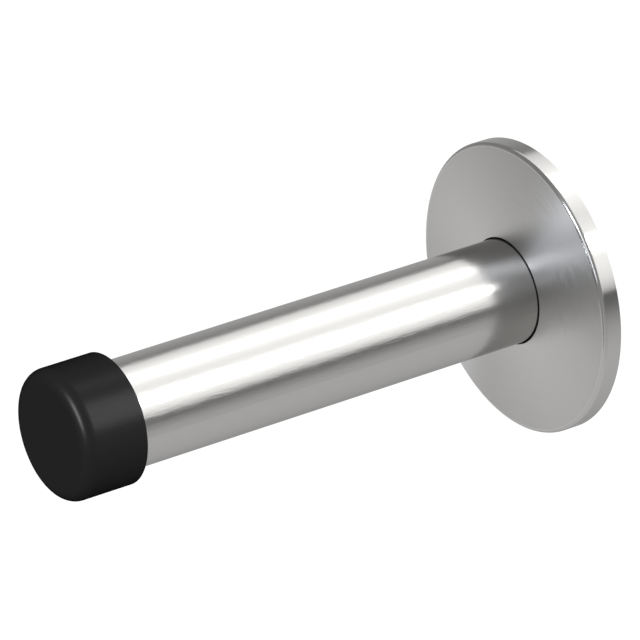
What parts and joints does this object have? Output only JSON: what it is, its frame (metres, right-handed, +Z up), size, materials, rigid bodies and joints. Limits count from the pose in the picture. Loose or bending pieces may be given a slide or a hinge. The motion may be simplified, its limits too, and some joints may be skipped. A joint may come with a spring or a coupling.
{
  "type": "wall door stop",
  "caption": "Wall door stop: a straight round post on a shallow domed cover rose, with a cup-shaped rubber buffer on its end. The cover hides the plate that is screwed to the wall.",
  "frame": {"origin": "centre of the fixing plate's back face, on the plane of the wall", "axes": "+Y into the wall, so the post stands out along -Y, and +Z up, through the top wall screw hole"},
  "size_m": [0.053, 0.1, 0.053],
  "materials": {
    "black_rubber": "moulded, matt",
    "satin_stainless_post": "satin, brushed along the tube",
    "satin_stainless_rose": "satin, brushed in circles",
    "zinc_plated_steel": "bright zinc plating",
    "ring_rubber": "moulded, matt",
    "turned_steel": "as turned",
    "screw_steel": "bright zinc plating"
  },
  "bodies": {
    "root": {"buffer": "black_rubber", "tube": "satin_stainless_post", "cover_rose": "satin_stainless_rose", "fixing_plate": "zinc_plated_steel", "grip_ring": "ring_rubber", "tube_insert": "turned_steel", "centre_screw": "screw_steel"}
  },
  "joints": []
}
